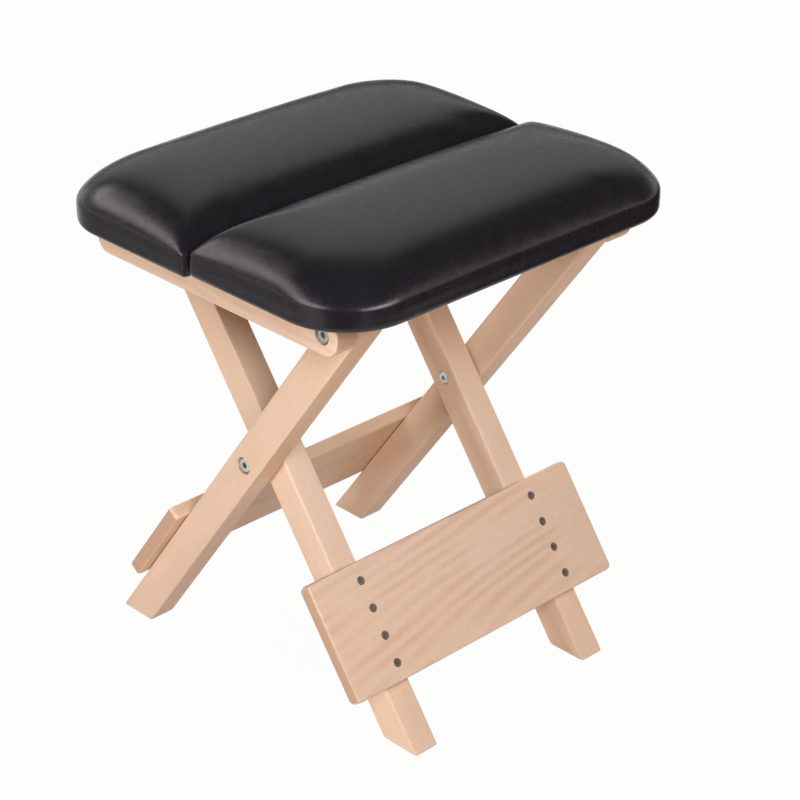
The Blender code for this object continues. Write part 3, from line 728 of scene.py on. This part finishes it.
def settle(item):
    """Replaces an object's mesh by what its modifiers make of it, and clears them."""
    made = bpy.data.meshes.new_from_object(item.evaluated_get(bpy.context.evaluated_depsgraph_get()))
    item.modifiers.clear()
    item.data = made


def read_points(mesh):
    flat = np.empty(3 * len(mesh.vertices))
    mesh.vertices.foreach_get("co", flat)
    return flat.reshape(-1, 3)


def write_points(mesh, points):
    mesh.vertices.foreach_set("co", points.ravel())
    mesh.update()


def smooth_step(values, low, high):
    share = np.clip((values - low) / (high - low), 0, 1)
    return share * share * (3 - 2 * share)


def band(values, limits):
    """Rises smoothly from 0 to 1 between the first two limits and falls between the last two, in mm."""
    start, full, fall, end = [limit * MM for limit in limits]
    return smooth_step(values, start, full) * (1 - smooth_step(values, fall, end))


def wave(turns):
    """Smooth wave that is 0 at whole turns and 1 halfway between them."""
    return 0.5 - 0.5 * np.cos(2 * math.pi * turns)


def inward_directions(edge, reach):
    """Unit vectors into the plan at the points of its closed outline."""
    tangent = np.roll(edge, -1, 0) - np.roll(edge, 1, 0)
    tangent /= np.linalg.norm(tangent, axis=1)[:, None]
    return np.stack([-tangent[:, 1], tangent[:, 0]], 1) * reach


def add_loft(shape, rings):
    """Skin over closed rings of as many points each; hands back the rings' vertices."""
    loops = [[shape.verts.new(point) for point in ring] for ring in rings]
    for lower, upper in zip(loops, loops[1:]):
        for index, vertex in enumerate(lower):
            following = (index + 1) % len(lower)
            shape.faces.new((vertex, lower[following], upper[following], upper[index]))
    return loops


def fill_between(shape, *loops):
    """Faces between closed loops of vertices, one inside the other."""
    edges = []
    for loop in loops:
        edges += [shape.edges.get((loop[index - 1], loop[index])) for index in range(len(loop))]
    bmesh.ops.triangle_fill(shape, edges=edges, use_beauty=True)


# Seat halves
class SeatHalf:
    """Plan and heights of one seat half, read from its CAD cover."""

    def __init__(self, prefix, reach):
        low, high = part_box(prefix + "_cover")
        self.prefix = prefix
        self.reach = reach
        self.underside = low[2]
        self.half_width = high[1]
        self.split_edge = min(abs(low[0]), abs(high[0]))
        self.outer_edge = max(abs(low[0]), abs(high[0]))

    def outline(self, inset, step=OUTLINE_STEP):
        """Closed plan drawn in by an inset, counted from the split side's left end."""
        near_x = self.split_edge + inset
        far_x = self.outer_edge - inset
        half_width = self.half_width - inset
        outer = max(OUTER_CORNER_RADIUS - inset, LEAST_CORNER_RADIUS)
        inner = max(SPLIT_CORNER_RADIUS - inset, LEAST_CORNER_RADIUS)
        corners = [
            (near_x + inner, inner - half_width, inner, math.pi),
            (far_x - outer, outer - half_width, outer, 1.5 * math.pi),
            (far_x - outer, half_width - outer, outer, 2 * math.pi),
            (near_x + inner, half_width - inner, inner, 2.5 * math.pi),
        ]
        full_radii = [SPLIT_CORNER_RADIUS, OUTER_CORNER_RADIUS, OUTER_CORNER_RADIUS, SPLIT_CORNER_RADIUS]
        end_run = self.outer_edge - self.split_edge - OUTER_CORNER_RADIUS - SPLIT_CORNER_RADIUS
        outer_run = 2 * self.half_width - 2 * OUTER_CORNER_RADIUS
        split_run = 2 * self.half_width - 2 * SPLIT_CORNER_RADIUS
        runs = [end_run, outer_run, end_run, split_run]

        def on_corner(corner, turned):
            x, y, radius, start = corner
            angle = start + turned
            return Vector((x + radius * math.cos(angle), y + radius * math.sin(angle)))

        points = []
        for index, corner in enumerate(corners):
            turns = max(LEAST_CORNER_STEPS, round(full_radii[index] * math.pi / 2 / step))
            points += [on_corner(corner, math.pi / 2 * count / turns) for count in range(turns + 1)]
            begin = points[-1]
            finish = on_corner(corners[(index + 1) % len(corners)], 0)
            steps = max(LEAST_SIDE_STEPS, round(runs[index] / step))
            points += [begin.lerp(finish, count / steps) for count in range(1, steps)]
        return [Vector((self.reach * point.x, point.y)) for point in points]

    def level_ring(self, points, height):
        return [Vector((point.x, point.y, self.underside + height)) for point in points]

    def dome_rings(self, crown):
        """Rings of the crown from the upright sides to the ridge, turning from the plan to an oval."""
        middle = self.reach * (self.split_edge + self.outer_edge) / 2
        half_length = (self.outer_edge - self.split_edge) / 2
        draw_x = 1 - RIDGE_WIDTH / 2 / half_length
        draw_y = CROWN_RUN / self.half_width
        edge = self.outline(0)
        rings = []
        for index in range(DOME_RINGS + 1):
            share = (index / DOME_RINGS) ** 2
            rise = (1 - (1 - share) ** CROWN_POWER) ** CROWN_ROOT
            ring = []
            for point in edge:
                across = (point.x - middle) / half_length
                along = point.y / self.half_width
                round_x = 1 - share * CROWN_ROUNDING * (1 - math.sqrt(1 - along ** 2 / 2))
                round_y = 1 - share * CROWN_ROUNDING * (1 - math.sqrt(1 - across ** 2 / 2))
                x = middle + (point.x - middle) * (1 - draw_x * share) * round_x
                ring.append(Vector((x, point.y * (1 - draw_y * share) * round_y)))
            rings.append(self.level_ring(ring, EDGE_HEIGHT + crown * rise))
        return rings


def cover_rings(half, crown):
    """Rings of a cover from its hem's inner edge, round the tucked side and up to the ridge."""
    rings = []
    for inset in HEM_INSETS:
        lift = HEM_LIFT * float(smooth_step(inset, HEM_LIFTS_FROM, HEM_LIFTED_AT))
        rings.append(half.level_ring(half.outline(inset * MM), lift))
    for index in range(EDGE_RINGS + 1):
        angle = math.pi / 2 * index / EDGE_RINGS
        inset = EDGE_TUCK * (1 - math.sin(angle))
        rings.append(half.level_ring(half.outline(inset), TUCK_HEIGHT * (1 - math.cos(angle))))
    rings += [half.level_ring(half.outline(0), height * MM) for height in SIDE_HEIGHTS]
    return rings + half.dome_rings(crown)


def swell(item, underside):
    """Blows the cover up like stuffed cloth held by its hem, and limits how far a point may go."""
    start = read_points(item.data)
    height = start[:, 2] - underside
    held = item.vertex_groups.new(name="held")
    hold = 1 - smooth_step(height, HELD_UP_TO, FREE_FROM)
    for index, weight in enumerate(hold):
        if weight > 0:
            held.add([index], float(weight), "REPLACE")
    cloth = item.modifiers.new("swell", "CLOTH")
    for key, value in CLOTH_SETTINGS.items():
        setattr(cloth.settings, key, value)
    cloth.settings.effector_weights.gravity = 0
    cloth.collision_settings.use_collision = False
    cloth.point_cache.frame_end = SWELL_FRAMES
    scene = bpy.context.scene
    for number in range(1, SWELL_FRAMES + 1):
        scene.frame_set(number)
    settle(item)
    scene.frame_set(1)
    item.vertex_groups.clear()
    moved = read_points(item.data) - start
    length = np.linalg.norm(moved, axis=1)
    allowed = np.minimum(1, SWELL_LIMIT / np.maximum(length, LEAST_SWELL))
    write_points(item.data, start + moved * allowed[:, None])


def even_crown(item, underside):
    """Evens the crown out, so that no line runs up from the cushion's corners."""
    height = read_points(item.data)[:, 2] - underside
    crown = item.vertex_groups.new(name="crown")
    for index, weight in enumerate(smooth_step(height, CROWN_STARTS, CROWN_FULL_FROM)):
        crown.add([index], float(weight), "REPLACE")
    even = item.modifiers.new("even", "SMOOTH")
    even.factor = CROWN_SMOOTHING_FACTOR
    even.iterations = CROWN_SMOOTHING
    even.vertex_group = "crown"
    settle(item)
    item.vertex_groups.clear()


def work_cover(half, grid, heights):
    """Draws the sides in between the corners, and adds the shoulder crease, gathers and corner tucks."""
    edge = np.array(half.outline(0))
    inward = inward_directions(edge, half.reach)
    run = np.concatenate([[0], np.cumsum(np.linalg.norm(np.diff(edge, axis=0), axis=1))])
    corner = np.array([half.reach * half.split_edge, half.half_width])
    from_split = np.minimum(
        np.linalg.norm(edge - corner, axis=1), np.linalg.norm(edge - corner * (1, -1), axis=1)
    )
    from_edge = (np.abs(edge[:, 0]) - half.split_edge) / half.outer_edge
    between = np.cos(math.pi / 2 * edge[:, 1] / half.half_width) * np.abs(inward[:, 0])
    between += np.sin(math.pi * from_edge) * np.abs(inward[:, 1])
    lift = heights[:, None]
    drawn = SIDE_DRAW * band(lift, SIDE_BAND) * between
    near_corner = 1 - smooth_step(from_split, CREASE_FULL_WITHIN, CREASE_REACH)
    crease = np.exp(-((lift - EDGE_HEIGHT) / CREASE_WIDTH) ** 2)
    drawn = drawn + CREASE_DEPTH * crease * (CREASE_LEAST_SHARE + (1 - CREASE_LEAST_SHARE) * near_corner)
    places = [Vector((*(point * SWAY_PER_METRE), half.reach)) for point in edge]
    sway = np.array([noise.noise(place) for place in places])
    gather = wave(run / STAPLE_SPACING + GATHER_SWAY * sway) * (GATHER_MEAN + GATHER_SPREAD * sway)
    drawn = drawn + GATHER_DEPTH * band(lift, GATHER_BAND) * gather
    tuck = np.exp(-((from_split - from_split.min()) / TUCK_WIDTH) ** 2)
    drawn = drawn + TUCK_DEPTH * tuck * band(lift, TUCK_BAND)
    grid[:, :, :2] += drawn[:, :, None] * inward[None, :, :]
    shoulder = band(heights, RIPPLE_BAND)
    for row in np.nonzero(shoulder > 0)[0]:
        for column, point in enumerate(grid[row]):
            ripple = noise.noise(Vector(point) / RIPPLE_SIZE)
            grid[row, column, :2] += RIPPLE_DEPTH * shoulder[row] * ripple * inward[column]
            grid[row, column, 2] += RIPPLE_DEPTH * shoulder[row] * ripple


def make_cushion(half):
    """Leatherette cover stretched over its pad, with the hem turned under the board."""
    prefix = half.prefix
    form = np.array(cover_rings(half, CROWN_HEIGHT))
    shape = bmesh.new()
    loops = add_loft(shape, cover_rings(half, CROWN_HEIGHT - SWELL_ROOM))
    bmesh.ops.triangulate(shape, faces=[shape.faces.new(loops[-1])])
    bmesh.ops.recalc_face_normals(shape, faces=shape.faces)
    item = add_piece(
        prefix + "_cushion", shape, prefix, LEATHERETTE, "leatherette", prefix + "_cover", prefix + "_foam"
    )
    swell(item, half.underside)
    swollen = read_points(item.data).reshape(form.shape)
    lift = form[:, :, 2] - half.underside
    free = (1 - FORM_PULL) * smooth_step(lift, EDGE_HEIGHT, EDGE_HEIGHT + FORM_FADE)
    write_points(item.data, form + (swollen - form) * free[:, :, None])
    even_crown(item, half.underside)
    grid = read_points(item.data).reshape(form.shape)
    work_cover(half, grid, lift.mean(1))
    write_points(item.data, grid)
    finer = item.modifiers.new("finer", "SUBSURF")
    finer.levels = 1
    finer.render_levels = 1
    thick = item.modifiers.new("thick", "SOLIDIFY")
    thick.thickness = COVER_THICKNESS
    thick.offset = -1
    settle(item)
    item.data.shade_smooth()


def plan_distance(half, points):
    """For points in plan: distance in from the widest outline and place along it."""
    edge = np.array(half.outline(0, EDGE_SAMPLE))
    ahead = np.roll(edge, -1, 0) - edge
    run = np.concatenate([[0], np.cumsum(np.linalg.norm(ahead, axis=1))[:-1]])
    inward = inward_directions(edge, half.reach)
    nearest = np.empty(len(points), int)
    for start in range(0, len(points), POINT_BLOCK):
        block = points[start:start + POINT_BLOCK]
        gap = ((block[:, None, :] - edge[None, :, :]) ** 2).sum(2)
        nearest[start:start + POINT_BLOCK] = gap.argmin(1)
    depth = ((points - edge[nearest]) * inward[nearest]).sum(1)
    return depth, run[nearest]


def staple_places(half, inset, spacing):
    """Even places along a plan line and their directions, without those that a rail passes under."""
    line = half.outline(inset, EDGE_SAMPLE)
    places = []
    travelled = 0.0
    for index, point in enumerate(line):
        following = line[(index + 1) % len(line)]
        travelled += (following - point).length
        if travelled < spacing:
            continue
        travelled = 0.0
        if any(low - RAIL_MARGIN < abs(point.y) < high + RAIL_MARGIN for low, high in RAIL_BANDS):
            continue
        places.append((point, (following - point).normalized()))
    return places


def add_staple(shape, middle, along, underside):
    """One flat-wire staple: a crown across the cloth and two legs up into the board."""
    across = Vector((-along.y, along.x))
    half_crown = STAPLE_CROWN / 2
    bend = STAPLE_THICKNESS
    path = [(-half_crown, STAPLE_LEG), (-half_crown, bend), (-half_crown + bend, 0)]
    path += [(-x, z) for x, z in reversed(path)]
    inner_bend = bend * STAPLE_INNER_BEND
    inner_end = -half_crown + bend
    inner = [(inner_end, STAPLE_LEG), (inner_end, inner_bend), (-half_crown + inner_bend, bend)]
    inner += [(-x, z) for x, z in reversed(inner)]
    rings = []
    for (x, z), (inner_x, inner_z) in zip(path, inner):
        ring = []
        for place, lift, side in ((x, z, -1), (x, z, 1), (inner_x, inner_z, 1), (inner_x, inner_z, -1)):
            flat = middle + along * place + across * side * STAPLE_WIDTH / 2
            ring.append(Vector((flat.x, flat.y, underside - STAPLE_PROUD + lift)))
        rings.append(ring)
    loops = add_loft(shape, rings)
    shape.faces.new(loops[0])
    shape.faces.new(loops[-1])


def make_staples(half):
    """Staples that hold the lining and the hem to the board."""
    draws = random.Random(11)
    shape = bmesh.new()
    for middle, along in staple_places(half, LINING_INSET + STAPLE_INSET, STAPLE_SPACING):
        slant = draws.uniform(-STAPLE_SLANT, STAPLE_SLANT)
        turned = Vector((
            along.x * math.cos(slant) - along.y * math.sin(slant),
            along.x * math.sin(slant) + along.y * math.cos(slant),
        ))
        add_staple(shape, middle, turned, half.underside)
    bmesh.ops.recalc_face_normals(shape, faces=shape.faces)
    item = add_piece(half.prefix + "_staples", shape, half.prefix, STEEL, "steel")
    item.data.shade_flat()


def make_lining(half):
    """Thin black cloth under a half, pulled tight between its staples."""
    insets = [LINING_INSET + step * MM for step in LINING_RINGS]
    rings = [half.level_ring(half.outline(inset, LINING_STEP), 0) for inset in insets]
    shape = bmesh.new()
    loops = add_loft(shape, rings)
    shape.faces.new(loops[-1])
    bmesh.ops.triangulate(shape, faces=[face for face in shape.faces if len(face.verts) > 4])
    bmesh.ops.recalc_face_normals(shape, faces=shape.faces)
    plan = half.outline(LINING_INSET, LINING_STEP)
    prefix = half.prefix
    item = add_piece(prefix + "_lining_cloth", shape, prefix, LINING, "lining_cloth", prefix + "_lining")
    points = read_points(item.data)
    depth, run = plan_distance(half, points[:, :2])
    pucker = band(depth - LINING_INSET, PUCKER_BAND) * wave(run / STAPLE_SPACING)
    points[:, 2] += LINING_PUCKER * pucker
    write_points(item.data, points)
    thick = item.modifiers.new("thick", "SOLIDIFY")
    thick.thickness = LINING_THICKNESS
    thick.offset = 1
    settle(item)
    item.data.shade_smooth()


def cross_outline(reach, half_slot):
    """Outline of a cross recess, seen from above the head."""
    points = []
    for quarter in range(4):
        turn = Matrix.Rotation(quarter * math.pi / 2, 2)
        for x, y in ((reach, -half_slot), (reach, half_slot), (half_slot, half_slot)):
            points.append(turn @ Vector((x, y)))
    return points


def add_screw(shape, top, outward, spin, length):
    """Wood screw with a low domed head, a cross recess and a thread that runs out to a point."""
    frame_turn = outward.to_track_quat("Z", "Y").to_matrix() @ Matrix.Rotation(spin, 3, "Z")

    def place(x, y, z):
        return top + frame_turn @ Vector((x, y, z))

    rings = []
    for share, drop in HEAD_PROFILE:
        radius = SCREW_HEAD_RADIUS * share
        z = -SCREW_HEAD_HEIGHT * drop
        angles = [2 * math.pi / SCREW_SIDES * index for index in range(SCREW_SIDES)]
        rings.append([place(radius * math.cos(angle), radius * math.sin(angle), z) for angle in angles])
    head = add_loft(shape, rings)
    recess = []
    for level in RECESS_LEVELS:
        outline = cross_outline(level["reach"], level["half_slot"])
        recess.append([place(point.x, point.y, level["height"]) for point in outline])
    pit = add_loft(shape, recess)
    shape.faces.new(pit[-1])
    fill_between(shape, head[0], pit[0])
    thread = []
    run = length - SCREW_HEAD_HEIGHT
    rows = round(run / THREAD_STEP)
    for row in range(rows + 1):
        z = -SCREW_HEAD_HEIGHT - run * row / rows
        taper = min(1.0, (length + z) / SCREW_POINT + SCREW_TIP_SHARE)
        ring = []
        for index in range(THREAD_SIDES):
            angle = 2 * math.pi * index / THREAD_SIDES
            phase = (-z / THREAD_PITCH - index / THREAD_SIDES) % 1
            crest_share = max(0.0, 1 - abs(phase - 0.5) / THREAD_HALF_WIDTH)
            radius = (THREAD_ROOT + (THREAD_CREST - THREAD_ROOT) * crest_share) * taper
            ring.append(place(radius * math.cos(angle), radius * math.sin(angle), z))
        thread.append(ring)
    shank = add_loft(shape, thread)
    shape.faces.new(shank[-1])
    fill_between(shape, head[-1], shank[0])


def make_screws(prefix, count, body, outward):
    """Screws of one plank or seat half, in the places of their CAD nodes."""
    draws = random.Random(prefix)
    shape = bmesh.new()
    nodes = [f"{prefix}_screw_{number}" for number in range(1, count + 1)]
    for node in nodes:
        points = np.array([vertex.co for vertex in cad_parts[node].data.vertices])
        along = points @ np.array(outward)
        middle = (points.max(0) + points.min(0)) / 2
        top = Vector(middle) + outward * (along.max() - float(middle @ np.array(outward)))
        add_screw(shape, top, outward, draws.uniform(0, math.pi), float(along.max() - along.min()))
    bmesh.ops.recalc_face_normals(shape, faces=shape.faces)
    item = add_piece(prefix + "_screws", shape, body, DARK_STEEL, "black_steel", *nodes)
    item.data.set_sharp_from_angle(angle=SOFT_EDGE_ANGLE)


bpy.context.scene.view_settings.view_transform = "Standard"
make_camera()
make_world()
make_floor()
make_lamps()
make_flags()
SOFT_EDGES = soft_edges()
LEATHERETTE = leatherette()
LINING = lining_cloth()
PLYWOOD = plywood()
STEEL = metal("zinc_plate", ZINC_BRIGHT, ZINC_DULL, roughness=(0.26, 0.42), metallic=1.0)
DARK_STEEL = metal("grey_screw_steel", SCREW_BRIGHT, SCREW_DULL, roughness=(0.42, 0.6), metallic=0.25)
dress_frame()
for half in (SeatHalf("rear_seat", -1), SeatHalf("front_seat", 1)):
    make_cushion(half)
    make_lining(half)
    make_staples(half)
    make_screws(half.prefix, SEAT_SCREWS, half.prefix, Vector((0, 0, -1)))
plank_outward = Vector((math.cos(LEG_LEAN), 0, math.sin(LEG_LEAN)))
make_screws("front_stretcher", PLANK_SCREWS, "inner_frame", plank_outward)
make_screws("rear_stretcher", PLANK_SCREWS, "outer_frame", plank_outward * Vector((-1, 1, 1)))
